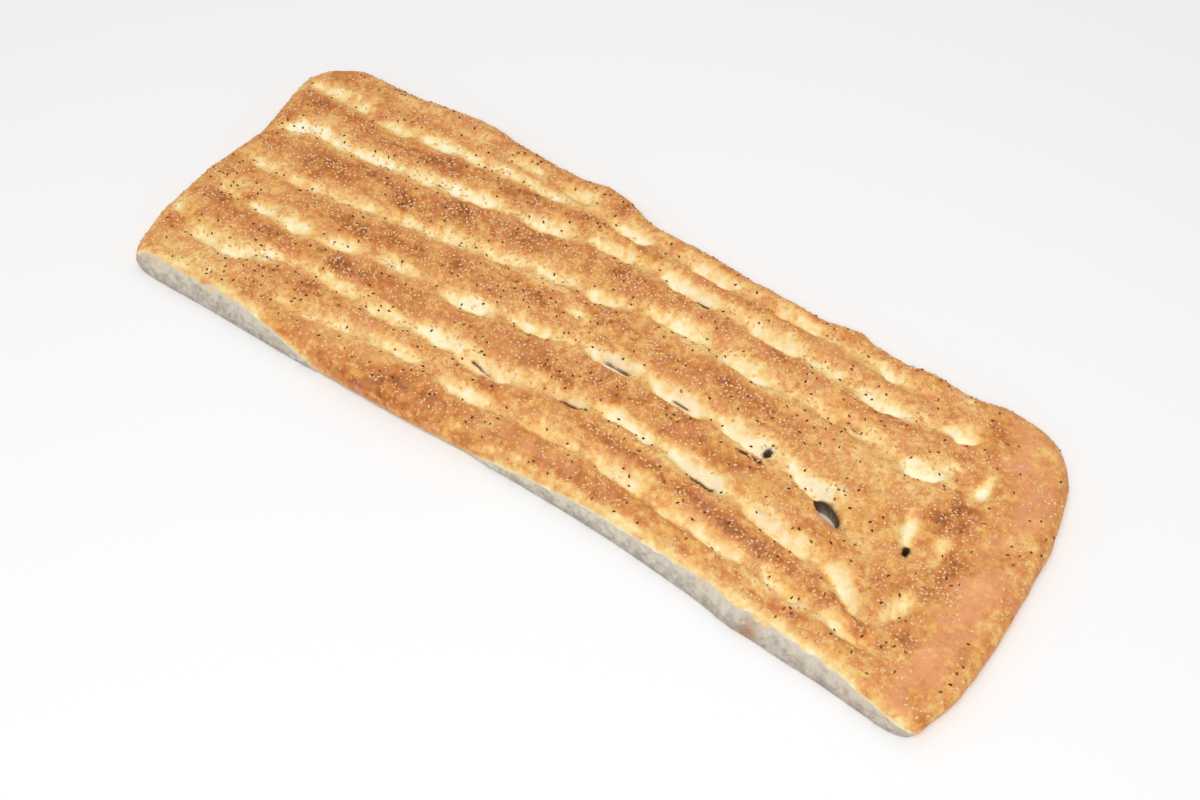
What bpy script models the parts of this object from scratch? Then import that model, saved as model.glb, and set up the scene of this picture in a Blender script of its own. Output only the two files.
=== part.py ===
"""A long, flat, oven-baked loaf with finger-pressed furrows, fused seeds and one pale torn side.

The loaf lies along X, its pale torn side faces -Y, and it rests on z = 0 with the origin under
the middle of its outline. Shapes are given in millimetres and built in metres.
"""

import math
import random

import bmesh
import bpy
import numpy as np
from mathutils import Matrix, Vector
from mathutils.bvhtree import BVHTree

MM = 0.001

# Driving sizes
HALF_LENGTH = 376      # from the middle to the straight line that each end swells about
HALF_WIDTH = 141       # from the middle to the straight line that each long side swells about
THICKNESS = 23         # ridge height over the table, before the swell below
SWELL = 1.6            # slow rise and fall of the ridges along the loaf
THINNEST = 7           # least thickness left under a press

# Each side as (place along the side, how far it stands out from its straight line)
FAR_SIDE = ((-340, -9), (-284, -6), (-244, 0), (-204, 4), (-168, 0), (-103, -1), (-80, 3),
            (-60, 1), (-28, -10), (20, -10), (138, -15), (172, -9), (189, -14), (219, -15),
            (239, -12), (269, -15), (299, -9), (322, -10), (343, -16))
RIGHT_END = ((104, -15), (86, -7), (54, 0), (14, 3), (-36, 3), (-77, 2), (-107, -2), (-124, -8))
NEAR_SIDE = ((349, 4), (319, 3), (288, 1), (268, 1), (237, 0), (217, 0), (196, -3),
             (176, -5), (94, -9), (-8, -7), (-69, -3), (-161, 1), (-273, 3), (-344, 5))
LEFT_END = ((-117, -10), (-97, -6), (-40, -4), (19, -10), (54, -5), (90, 0), (107, -5))
CORNERS = ((-359, 120), (353, 115), (362, -140), (-357, -141))  # far left, far right, near right, near left

# Rounded crust edge and pale torn side
CRUST_ROLL = 15        # how far in from the edge the crust starts to roll down
CRUST_WIDEST = 11      # height at which the crust edge stands furthest out
CRUST_TUCK = 4         # how far the underside stays in from the edge
TORN_WIDEST = 3        # the same two for the torn side
TORN_TUCK = 1
EDGE_RINGS = ((0.55, 0.3), (0, 0.7))   # below the widest line: (share of its height, share of the tuck)
# Torn side as (place along X, how much of it is torn, how far it leans out towards the table)
TORN_SIDE = ((-372, 0.6, 7), (-344, 1, 9), (-212, 1, 8), (-161, 0.3, 5), (-20, 0.3, 4),
             (40, 1, 3), (135, 1, 4), (196, 1, 9), (237, 1, 10), (300, 1, 7), (372, 0.8, 6))

# Finger-pressed furrows: the path's (x, y) points, how deep its channel is, and the presses in it
# as (x, length, depth below the channel)
FURROW_HALF_WIDTH = 14
PRESS_HALF_WIDTH = 11
NEAR_SHARE = 0.62      # the near wall of a press is this much narrower than its far slope
FURROWS = (
    {"path": ((-195, 122), (-150, 119), (-100, 119), (-55, 122)), "channel": 2.5,
     "presses": ((-150, 40, 4), (-98, 38, 6))},
    {"path": ((-366, 84.5), (-330, 91.5), (-265, 88.5), (-225, 95.5), (-150, 101), (-105, 107),
              (-40, 109), (125, 110), (210, 105), (262, 104)), "channel": 4.5,
     "presses": ((-345, 30, 4), (-308, 40, 5), (-272, 36, 5), (-225, 34, 5), (-185, 30, 4),
                 (-115, 30, 4), (-38, 42, 6), (45, 44, 7), (125, 46, 6), (212, 18, 5))},
    {"path": ((-352, 30.5), (-320, 45.5), (-285, 43.5), (-250, 51.5), (-205, 56.5), (-155, 65), (-95, 74),
              (-35, 85.5), (120, 83), (215, 78), (288, 89)), "channel": 5,
     "presses": ((-335, 26, 5), (-303, 30, 5), (-256, 42, 5), (-213, 32, 5), (-165, 44, 6),
                 (-95, 42, 6), (-35, 40, 6), (40, 46, 7), (120, 48, 7), (218, 38, 7), (285, 24, 7))},
    {"path": ((-348, -9.5), (-295, -9.5), (-240, 0.5), (-200, 8.5), (-145, 17), (-50, 38), (-15, 37.5),
              (50, 50), (120, 44), (200, 45), (268, 41), (292, 52)), "channel": 4.5,
     "presses": ((-325, 30, 4), (-290, 26, 5), (-240, 40, 5), (-198, 30, 4), (-158, 32, 4),
                 (-105, 42, 5), (-58, 30, 4), (-14, 28, 5), (50, 48, 6), (120, 34, 6),
                 (188, 24, 5), (212, 18, 5), (272, 32, 7))},
    {"path": ((-348, -49.5), (-262, -48.5), (-220, -42.5), (-180, -31.5), (-100, -29), (-50, -18),
              (30, -9), (140, -10), (185, -13), (212, -18), (232, -29), (262, -37)), "channel": 5,
     "presses": ((-335, 20, 4), (-298, 20, 7), (-263, 20, 7), (-220, 32, 5), (-170, 34, 4),
                 (-100, 40, 7), (-45, 32, 6), (30, 42, 9), (88, 50, 8), (150, 44, 9), (208, 36, 8),
                 (236, 26, 7))},
    {"path": ((-368, -81.5), (-325, -97.5), (-285, -96.5), (-262, -83.5), (-230, -75.5), (-145, -76),
              (-90, -69), (-50, -71), (20, -56), (60, -50), (130, -55), (200, -62), (268, -76),
              (296, -94)), "channel": 5,
     "presses": ((-350, 22, 4), (-318, 30, 6), (-285, 28, 6), (-240, 38, 5), (-195, 34, 4),
                 (-145, 32, 5), (-95, 38, 6), (-50, 52, 9), (20, 26, 8), (72, 50, 7), (138, 46, 8),
                 (208, 62, 9), (272, 38, 8))},
    {"path": ((-215, -115.5), (-175, -108), (-110, -97), (-45, -99), (30, -90), (85, -91),
              (140, -97), (235, -101), (306, -107)), "channel": 4.5,
     "presses": ((-175, 36, 4), (-112, 36, 5), (-45, 44, 6), (30, 46, 6), (92, 50, 7),
                 (140, 32, 6), (178, 36, 7), (235, 32, 6), (290, 38, 5))},
)
# Short presses of the cross furrow at the right end, and a lone one: (x, y, length, depth, turn)
LONE_PRESSES = ((316, 50, 22, 7, 80), (287, -9, 28, 7, -75), (314, -12, 18, 6, 85),
                (311, -70, 26, 6, 80), (-22, 12, 10, 5, 0))
# Up to the first x the furrows have this share of their depth, from the second x on all of it
LIGHT_TOUCH = (-200, 60, 0.6)
CROSS_FURROW = {"x": 303, "half_width": 24, "half_length": 100, "depth": 2.2}

# Torn openings: (x, y, half length, half width, depth below the crust there, turn); None goes through
OPENINGS = ((231, -29, 12, 6, None, -20), (169, -10, 3.8, 3.4, 9, 0), (293, -26, 6.5, 4, 9, -82))
OPENING_TAPER = 0.72   # how narrow an opening is at its foot

# Seeds: half sizes, how deep they sit, and how many rows and columns they are strewn in
SESAME = {"radii": (1.7, 1.05, 0.75), "sunk": 0.25}
NIGELLA = {"radii": (1.3, 0.9, 0.8), "sunk": 0.25}
SEED_COLUMNS = 20
SEED_ROWS = 7
SEED_EDGE = 18         # no seed nearer to the outline than this
NIGELLA_EVERY = 4
SEED_DRAW = 7

# Mesh fineness
GRID_COLUMNS = 62
GRID_ROWS = 52
EDGE_STEPS = (0, 1, 3.5, 8, 14)    # how far in the first rows of faces lie
LOOP_STEPS = 12                    # straight bits of outline between two of its points

LOAF = "barbari_bread"


def clear_scene():
    for item in list(bpy.data.objects):
        bpy.data.objects.remove(item, do_unlink=True)


def new_collection(name):
    made = bpy.data.collections.new(name)
    bpy.context.scene.collection.children.link(made)
    return made


def add_object(name, mesh_data, collection):
    made = bpy.data.objects.new(name, mesh_data)
    collection.objects.link(made)
    return made


def baked_material(name, colour, roughness):
    made = bpy.data.materials.new(name)
    made.use_nodes = True
    shader = made.node_tree.nodes["Principled BSDF"]
    shader.inputs["Base Color"].default_value = (*colour, 1)
    shader.inputs["Roughness"].default_value = roughness
    shader.inputs["Metallic"].default_value = 0
    made.diffuse_color = (*colour, 1)
    return made


def fall(t):
    """1 at t = 0, easing to 0 from t = 1 on."""
    t = np.clip(t, 0, 1)
    return 1 - t * t * (3 - 2 * t)


def smooth_line(points, steps, closed):
    """A curve through the points, cut in steps, which leaves each point along the line of its neighbours."""
    points = np.array(points, float)
    count = len(points)
    if closed:
        before, after = np.roll(points, 1, axis=0), np.roll(points, -1, axis=0)
    else:
        before = np.vstack([points[:1], points[:-1]])
        after = np.vstack([points[1:], points[-1:]])
    slope = (after - before) / np.linalg.norm(after - before, axis=1, keepdims=True)
    curve = []
    for i in range(count if closed else count - 1):
        j = (i + 1) % count
        reach = np.linalg.norm(points[j] - points[i])
        for t in np.arange(steps) / steps:
            curve.append(points[i] * (1 + 2 * t) * (1 - t) ** 2 + points[j] * t * t * (3 - 2 * t)
                         + reach * (slope[i] * t * (1 - t) ** 2 - slope[j] * t * t * (1 - t)))
    if not closed:
        curve.append(points[-1])
    return np.array(curve)


def outline():
    """The closed outline in mm, clockwise from the far left corner, and where its corners are in it."""
    far = [(x, HALF_WIDTH + out) for x, out in FAR_SIDE]
    right = [(HALF_LENGTH + out, y) for y, out in RIGHT_END]
    near = [(x, -HALF_WIDTH - out) for x, out in NEAR_SIDE]
    left = [(-HALF_LENGTH - out, y) for y, out in LEFT_END]
    points, corner_at = [], []
    for corner, side in zip(CORNERS, (far, right, near, left)):
        corner_at.append(len(points) * LOOP_STEPS)
        points += [corner, *side]
    return smooth_line(points, LOOP_STEPS, closed=True), corner_at


def side_places(loop, start, end, shares):
    """Points at these shares of the way along the outline from one corner to the next."""
    stretch = np.vstack([loop, loop[:1]])[start:end + 1]
    length = np.concatenate([[0], np.cumsum(np.linalg.norm(np.diff(stretch, axis=0), axis=1))])
    wanted = np.asarray(shares) * length[-1]
    return np.stack([np.interp(wanted, length, stretch[:, k]) for k in (0, 1)], axis=1)


def graded(count, size):
    """count + 1 shares from 0 to 1, with EDGE_STEPS at both ends and even steps between."""
    steps = np.array(EDGE_STEPS) / size
    inner = np.linspace(steps[-1], 1 - steps[-1], count + 1 - 2 * (len(steps) - 1))
    return np.concatenate([steps[:-1], inner, (1 - steps[:-1])[::-1]])


def loaf_places(loop, corner_at):
    """The (column, row) grid of points inside the outline, each side's shape fading towards the other."""
    u, v = graded(GRID_COLUMNS, 2 * HALF_LENGTH), graded(GRID_ROWS, 2 * HALF_WIDTH)
    far_left, far_right, near_right, near_left = corner_at
    far = side_places(loop, far_left, far_right, u)
    right = side_places(loop, far_right, near_right, 1 - v)
    near = side_places(loop, near_right, near_left, 1 - u)
    left = side_places(loop, near_left, len(loop), v)
    u, v = u[:, None, None], v[None, :, None]
    ruled = near[:, None] * (1 - v) + far[:, None] * v + left[None] * (1 - u) + right[None] * u
    shared = ((1 - u) * (1 - v) * near[0] + u * (1 - v) * near[-1]
              + (1 - u) * v * far[0] + u * v * far[-1])
    return ruled - shared


def nearest_on_outline(places, loop):
    """For each place: distance to the outline, and the outward direction there."""
    starts, ends = loop, np.roll(loop, -1, axis=0)
    along = ends - starts
    outward = np.stack([-along[:, 1], along[:, 0]], axis=1)
    outward /= np.linalg.norm(outward, axis=1, keepdims=True)
    share = ((places[:, None] - starts) * along).sum(-1) / (along * along).sum(-1)
    foot = starts + np.clip(share, 0, 1)[..., None] * along
    distance = np.linalg.norm(places[:, None] - foot, axis=-1)
    nearest = distance.argmin(axis=1)
    return distance[np.arange(len(places)), nearest], outward[nearest]


def torn_share(x, outward):
    """How much of the edge here is torn instead of crusted, and its lean in mm."""
    stations, torn, lean = np.array(TORN_SIDE).T
    facing = np.clip(-outward[:, 1], 0, 1) ** 2
    return np.interp(x, stations, torn) * facing, np.interp(x, stations, lean)


def press_depth(x, y, at, length, depth, turn, half_width=PRESS_HALF_WIDTH):
    """A fingertip's trough: round-ended, with a steep near wall and a long far slope."""
    cos, sin = math.cos(turn), math.sin(turn)
    along = (x - at[0]) * cos + (y - at[1]) * sin
    across = (y - at[1]) * cos - (x - at[0]) * sin
    across = np.where(across < 0, across / NEAR_SHARE, across)
    straight = max(length / 2 - half_width * 0.6, 0)
    beyond = np.maximum(np.abs(along) - straight, 0)
    return depth * fall(np.hypot(beyond, across) / half_width)


def furrow_depth(x, y, furrow):
    path = smooth_line(furrow["path"], 6, closed=False)
    middle = np.interp(x, path[:, 0], path[:, 1])
    slope = np.interp(x, path[:-1, 0], np.diff(path[:, 1]) / np.diff(path[:, 0]))
    across = (y - middle) / np.hypot(1, slope)
    past_end = np.maximum(path[0, 0] - x, 0) + np.maximum(x - path[-1, 0], 0)
    total = furrow["channel"] * fall(np.hypot(across, past_end) / FURROW_HALF_WIDTH)
    for press_x, length, depth in furrow["presses"]:
        press_y = np.interp(press_x, path[:, 0], path[:, 1])
        turn = math.atan(np.interp(press_x, path[:-1, 0], np.diff(path[:, 1]) / np.diff(path[:, 0])))
        total = total + press_depth(x, y, (press_x, press_y), length, depth, turn)
    return total


def crust_height(x, y):
    """Height of the loaf's upper face in mm, away from its edges."""
    height = THICKNESS + SWELL * np.sin(x / 62) * np.cos(y / 75) + SWELL / 2 * np.sin(x / 27 + y / 40)
    start, end, least = LIGHT_TOUCH
    share = 1 - (1 - least) * fall((x - start) / (end - start))
    for furrow in FURROWS:
        height = height - share * furrow_depth(x, y, furrow)
    for press_x, press_y, length, depth, turn in LONE_PRESSES:
        height = height - press_depth(x, y, (press_x, press_y), length, depth, math.radians(turn))
    cross = np.hypot((x - CROSS_FURROW["x"]) / CROSS_FURROW["half_width"],
                     np.maximum(np.abs(y) - CROSS_FURROW["half_length"], 0) / FURROW_HALF_WIDTH)
    return np.maximum(height - CROSS_FURROW["depth"] * fall(cross), THINNEST)


def edge_profile(height, distance, torn, lean):
    """Lowers the height towards the outline: a round roll on crust, a near-straight slope where torn."""
    widest = CRUST_WIDEST * (1 - torn) + TORN_WIDEST * torn
    reach = CRUST_ROLL * (1 - torn) + (lean + 3) * torn
    power = 2 - 0.6 * torn
    inward = np.clip(distance / reach, 0, 1)
    return widest + (height - widest) * (1 - (1 - inward) ** power) ** (1 / power)


def shaped_loaf(collection):
    """The loaf as a grid laid into its outline, with its border extruded down to a flat underside."""
    loop, corner_at = outline()
    middle = (loop.min(axis=0) + loop.max(axis=0)) / 2
    places = loaf_places(loop, corner_at).reshape(-1, 2)
    distance, outward = nearest_on_outline(places, loop)
    torn, lean = torn_share(places[:, 0], outward)
    heights = edge_profile(crust_height(*places.T), distance, torn, lean)

    mesh = bmesh.new()
    bmesh.ops.create_grid(mesh, x_segments=GRID_COLUMNS, y_segments=GRID_ROWS, size=1)
    order = sorted(mesh.verts, key=lambda vert: (round(vert.co.x, 4), round(vert.co.y, 4)))
    for vert, (x, y), z in zip(order, places - middle, heights):
        vert.co = Vector((x, y, z)) * MM

    for height_share, tuck_share in EDGE_RINGS:
        border = [edge for edge in mesh.edges if edge.is_boundary]
        ring = bmesh.ops.extrude_edge_only(mesh, edges=border)["geom"]
        verts = [item for item in ring if isinstance(item, bmesh.types.BMVert)]
        here = np.array([vert.co[:2] for vert in verts]) / MM + middle
        _, outward = nearest_on_outline(here, loop)
        torn, _ = torn_share(here[:, 0], outward)
        tuck = (CRUST_TUCK * (1 - torn) + TORN_TUCK * torn) * tuck_share
        for vert, direction, inset in zip(verts, outward, tuck):
            vert.co.x -= direction[0] * inset * MM
            vert.co.y -= direction[1] * inset * MM
            vert.co.z *= height_share
    bmesh.ops.contextual_create(mesh, geom=[edge for edge in mesh.edges if edge.is_boundary])
    bmesh.ops.recalc_face_normals(mesh, faces=mesh.faces)

    data = bpy.data.meshes.new(LOAF)
    mesh.to_mesh(data)
    mesh.free()
    return add_object(LOAF, data, collection), middle


def opening_cutter(name, at, collection, middle):
    """A tapered oval plug that stands from over the crust down into it, or right through."""
    x, y, half_length, half_width, depth, turn = at
    top = THICKNESS + 8
    crust = float(crust_height(np.array([x]), np.array([y]))[0])
    foot = -4 if depth is None else crust - depth
    mesh = bmesh.new()
    bmesh.ops.create_cone(mesh, cap_ends=True, segments=18, radius1=OPENING_TAPER, radius2=1, depth=1)
    grow = 1 + (1 - OPENING_TAPER) * (top - crust) / (crust - foot)
    for vert in mesh.verts:
        size = grow if vert.co.z > 0 else 1
        vert.co.x *= size * half_length
        vert.co.y *= size * half_width
        vert.co.z = top if vert.co.z > 0 else foot
    place = Matrix.Translation(Vector((x - middle[0], y - middle[1], 0)) * MM)
    bmesh.ops.transform(mesh, matrix=place @ Matrix.Rotation(math.radians(turn), 4, "Z")
                        @ Matrix.Scale(MM, 4), verts=mesh.verts)
    data = bpy.data.meshes.new(name)
    mesh.to_mesh(data)
    mesh.free()
    cutter = add_object(name, data, collection)
    cutter.hide_render = True
    cutter.display_type = "WIRE"
    return cutter


def apply_boolean(target, operation, collection):
    """Cuts the collection's objects from the target, or joins them to it, and removes them."""
    joint = target.modifiers.new(operation.title(), "BOOLEAN")
    joint.operation = operation
    joint.operand_type = "COLLECTION"
    joint.collection = collection
    joint.solver = "EXACT"
    bpy.context.view_layer.update()
    evaluated = target.evaluated_get(bpy.context.evaluated_depsgraph_get())
    result = bpy.data.meshes.new_from_object(evaluated)
    target.modifiers.clear()
    target.data = result
    result.name = target.name
    for item in list(collection.objects):
        bpy.data.objects.remove(item, do_unlink=True)
    bpy.data.collections.remove(collection)


def seed_mesh(kind):
    mesh = bmesh.new()
    if kind is SESAME:
        bmesh.ops.create_uvsphere(mesh, u_segments=6, v_segments=3, radius=1,
                                  matrix=Matrix.Rotation(math.pi / 2, 4, "Y"))
        for vert in mesh.verts:
            vert.co.y *= 1 - 0.35 * vert.co.x
    else:
        bmesh.ops.create_icosphere(mesh, subdivisions=1, radius=1)
    for vert in mesh.verts:
        vert.co = Vector(a * b for a, b in zip(vert.co, kind["radii"])) * MM
    bmesh.ops.recalc_face_normals(mesh, faces=mesh.faces)
    data = bpy.data.meshes.new("seed")
    mesh.to_mesh(data)
    mesh.free()
    return data


def strewn_seeds(loaf, collection, middle):
    """Seeds laid flat on the crust, one in each cell of a grid, at a seeded place in its cell."""
    draw = random.Random(SEED_DRAW)
    loop, _ = outline()
    shape = bmesh.new()
    shape.from_mesh(loaf.data)
    surface = BVHTree.FromBMesh(shape)
    shape.free()
    shapes = {"sesame": seed_mesh(SESAME), "nigella": seed_mesh(NIGELLA)}
    width, depth = 2 * HALF_LENGTH / SEED_COLUMNS, 2 * HALF_WIDTH / SEED_ROWS
    number = 0
    for column in range(SEED_COLUMNS):
        for row in range(SEED_ROWS):
            x = -HALF_LENGTH + (column + draw.uniform(0.15, 0.85)) * width
            y = -HALF_WIDTH + (row + draw.uniform(0.15, 0.85)) * depth
            turn = draw.uniform(0, math.tau)
            distance, _ = nearest_on_outline(np.array([[x, y]]), loop)
            over = Vector(((x - middle[0]) * MM, (y - middle[1]) * MM, 2 * THICKNESS * MM))
            hit, normal, _, _ = surface.ray_cast(over, Vector((0, 0, -1)))
            if distance[0] < SEED_EDGE or hit is None or normal.z < 0.75:
                continue
            number += 1
            name = "nigella" if number % NIGELLA_EVERY == 0 else "sesame"
            kind = NIGELLA if name == "nigella" else SESAME
            seed = add_object(f"{name}_{number}", shapes[name], collection)
            lift = kind["radii"][2] * (1 - 2 * kind["sunk"]) * MM
            seed.matrix_world = (Matrix.Translation(hit + normal * lift)
                                 @ normal.to_track_quat("Z", "Y").to_matrix().to_4x4()
                                 @ Matrix.Rotation(turn, 4, "Z"))


def main():
    clear_scene()
    bread = new_collection("barbari bread")
    openings = new_collection("torn openings")
    seeds = new_collection("fused seeds")

    loaf, middle = shaped_loaf(bread)
    for number, at in enumerate(OPENINGS, 1):
        opening_cutter(f"opening_{number}", at, openings, middle)
    apply_boolean(loaf, "DIFFERENCE", openings)
    strewn_seeds(loaf, seeds, middle)
    apply_boolean(loaf, "UNION", seeds)

    loaf.data.materials.clear()
    loaf.data.materials.append(baked_material("baked crust", (0.62, 0.30, 0.10), 0.6))
    loaf.data.shade_smooth()
    loaf.data.set_sharp_from_angle(angle=math.radians(50))


main()
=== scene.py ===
import math

import bmesh
import bpy
import numpy as np
from mathutils import Matrix, Vector, noise
from mathutils.bvhtree import BVHTree


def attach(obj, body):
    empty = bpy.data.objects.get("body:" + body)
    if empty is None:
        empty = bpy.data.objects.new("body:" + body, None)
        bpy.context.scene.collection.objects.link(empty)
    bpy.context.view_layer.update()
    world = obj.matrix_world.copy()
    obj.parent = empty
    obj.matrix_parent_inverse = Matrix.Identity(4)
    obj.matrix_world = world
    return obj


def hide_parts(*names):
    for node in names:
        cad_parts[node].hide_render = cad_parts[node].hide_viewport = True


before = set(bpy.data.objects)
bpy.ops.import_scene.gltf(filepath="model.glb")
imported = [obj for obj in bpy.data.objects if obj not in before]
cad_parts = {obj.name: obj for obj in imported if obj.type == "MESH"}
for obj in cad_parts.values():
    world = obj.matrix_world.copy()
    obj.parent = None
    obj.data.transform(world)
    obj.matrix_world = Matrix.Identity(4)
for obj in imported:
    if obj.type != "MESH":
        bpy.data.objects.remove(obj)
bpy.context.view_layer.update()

mm = 0.001
loafNode = "barbari_bread"

# The loaf, in mm, in the plan that its outline was measured in. x runs along it, the torn side is at -y
bread = {
    "halfLength": 376,
    "halfWidth": 141,
    "thickness": 23,      # ridges over the table
    "thinnest": 7,        # least thickness under a press
    # slow rise and fall of the ridges, in long waves and in short ones of half the height
    "swell": 1.6,
    "longWaves": (62, 75),
    "shortWaves": (27, 40),
    # each side as (place along it, how far it stands out from its straight line)
    "farSide": ((-340, -9), (-284, -6), (-244, 0), (-204, 4), (-168, 0), (-103, -1), (-80, 3),
                (-60, 1), (-28, -10), (20, -10), (138, -15), (172, -9), (189, -14), (219, -15),
                (239, -12), (269, -15), (299, -9), (322, -10), (343, -16)),
    "rightEnd": ((104, -15), (86, -7), (54, 0), (14, 3), (-36, 3), (-77, 2), (-107, -2), (-124, -8)),
    "nearSide": ((349, 4), (319, 3), (288, 1), (268, 1), (237, 0), (217, 0), (196, -3),
                 (176, -5), (94, -9), (-8, -7), (-69, -3), (-161, 1), (-273, 3), (-344, 5)),
    "leftEnd": ((-117, -10), (-97, -6), (-40, -4), (19, -10), (54, -5), (90, 0), (107, -5)),
    "corners": ((-359, 120), (353, 115), (362, -140), (-357, -141)),
    # the rounded crust edge and the torn one, whose reach adds to how far it leans out: how far in it
    # starts, height of its widest line, how far it tucks in below that, and the power of its curve
    "crustEdge": {"reach": 15, "widest": 11, "tuck": 4, "power": 2},
    "tornEdge": {"reach": 3, "widest": 3, "tuck": 1, "power": 1.4},
    "widestShare": 0.55,  # of the thickness, where the bread is thin
    # (place along x, how much of the near side is torn there, how far it leans out, height of its lip)
    "tornSide": ((-372, 0.2, 7, 9), (-356, 0.7, 8, 14), (-344, 1, 9, 20), (-300, 1, 10, 23),
                 (-250, 1, 10, 22), (-212, 1, 8, 18), (-178, 0.9, 7, 12), (-161, 0.3, 5, 8),
                 (-20, 0.3, 4, 6), (0, 0.6, 4, 10), (40, 0.9, 5, 14), (80, 1, 5, 17), (135, 1, 6, 19),
                 (170, 1, 8, 20), (196, 1, 9, 21), (237, 1, 10, 22), (300, 1, 8, 20), (340, 0.9, 6, 15),
                 (372, 0.6, 6, 9)),
    # near corners that sink towards the table: (x, y, reach, depth)
    "droops": ((-366, -120, 40, 8), (370, -143, 44, 7)),
    "droopGrip": 8,
    # fineness of the grid that the crust is laid from
    "columns": 222,
    "rows": 90,
    "nearSteps": (0, 0.5, 1.2, 2.1, 3.2, 4.6, 6.3, 8.4, 11, 14),
    "endSteps": (0, 0.7, 1.9, 3.6, 5.8, 8.4, 11.4, 14.8),
    "loopSteps": 12,
    "pathSteps": 6,
    # rings under the widest line: (share of the height above it, share of the tuck)
    "rings": ((0.8, 0.06), (0.72, 0.14), (0.62, 0.2), (0.47, 0.25), (0.3, 0.21), (0, 0.14)),
}

# Furrows: path, depth of the channel, and the finger presses as (x, length, depth, how pale)
furrows = (
    {"path": ((-195, 122), (-150, 119), (-100, 119), (-55, 122)), "channel": 2.5,
     "presses": ((-150, 40, 4, 0.8), (-98, 38, 6, 0.7))},
    {"path": ((-366, 84.5), (-330, 91.5), (-265, 88.5), (-225, 95.5), (-150, 101), (-105, 107),
              (-40, 109), (125, 110), (210, 105), (262, 104)), "channel": 4.5,
     "presses": ((-345, 30, 4, 0.5), (-308, 40, 5, 0.6), (-272, 36, 5, 0.8), (-225, 34, 5, 0.65),
                 (-185, 30, 4, 0.6), (-115, 30, 4, 0.6), (-35, 38, 6, 0.95), (45, 44, 7, 0.95),
                 (125, 46, 6, 0.85), (212, 18, 5, 0.8))},
    {"path": ((-352, 30.5), (-320, 45.5), (-285, 43.5), (-250, 51.5), (-205, 56.5), (-155, 65), (-95, 74),
              (-35, 85.5), (120, 83), (215, 78), (288, 89)), "channel": 5,
     "presses": ((-335, 26, 5, 0.75), (-303, 30, 5, 0.8), (-256, 42, 5, 0.75), (-213, 32, 5, 0.65),
                 (-165, 44, 6, 0.8), (-95, 42, 6, 0.85), (-35, 40, 6, 0.85), (40, 46, 7, 0.95),
                 (120, 48, 7, 0.75), (218, 38, 7, 1), (285, 24, 7, 0.95))},
    {"path": ((-348, -9.5), (-295, -9.5), (-240, 0.5), (-200, 8.5), (-145, 17), (-50, 38), (-15, 37.5),
              (50, 50), (120, 44), (200, 45), (268, 41), (292, 52)), "channel": 4.5,
     "presses": ((-325, 30, 4, 0.5), (-290, 26, 5, 0.75), (-240, 40, 5, 0.6), (-198, 30, 4, 0.65),
                 (-158, 32, 4, 0.5), (-105, 42, 5, 0.55), (-58, 30, 4, 0.5), (-14, 28, 5, 0.7),
                 (50, 48, 6, 0.75), (120, 34, 6, 0.85), (188, 24, 5, 0.3), (212, 18, 5, 0.3),
                 (272, 32, 7, 1))},
    {"path": ((-348, -49.5), (-262, -48.5), (-220, -42.5), (-180, -31.5), (-100, -29), (-50, -18),
              (30, -9), (140, -10), (185, -13), (212, -18), (232, -29), (262, -37)), "channel": 5,
     "presses": ((-335, 20, 4, 0.45), (-298, 20, 7, 0.95), (-263, 20, 7, 0.95), (-220, 32, 5, 0.65),
                 (-170, 34, 4, 0.6), (-100, 40, 7, 0.9), (-45, 32, 6, 0.75), (30, 42, 9, 1),
                 (88, 50, 8, 1), (150, 44, 9, 1), (208, 36, 8, 1), (236, 26, 7, 0.3))},
    {"path": ((-368, -81.5), (-325, -97.5), (-285, -96.5), (-262, -83.5), (-230, -75.5), (-145, -76),
              (-90, -69), (-50, -71), (20, -56), (60, -50), (130, -55), (200, -62), (268, -76),
              (296, -94)), "channel": 5,
     "presses": ((-350, 22, 4, 0.6), (-318, 30, 6, 0.75), (-285, 28, 6, 0.85), (-240, 38, 5, 0.6),
                 (-195, 34, 4, 0.6), (-145, 32, 5, 0.6), (-95, 38, 6, 0.85), (-50, 52, 9, 0.8),
                 (20, 26, 8, 0.55), (72, 50, 7, 0.9), (138, 46, 8, 1), (208, 62, 9, 1),
                 (272, 38, 8, 1))},
    {"path": ((-215, -115.5), (-175, -108), (-110, -97), (-45, -99), (30, -90), (85, -91),
              (140, -97), (235, -101), (306, -107)), "channel": 4.5,
     "presses": ((-175, 36, 4, 0.55), (-112, 36, 5, 0.6), (-45, 44, 6, 0.75), (30, 46, 6, 0.55),
                 (92, 50, 7, 0.8), (140, 32, 6, 0.6), (178, 36, 7, 0.8), (235, 32, 6, 0.6),
                 (290, 38, 5, 0.7))},
)
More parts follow.
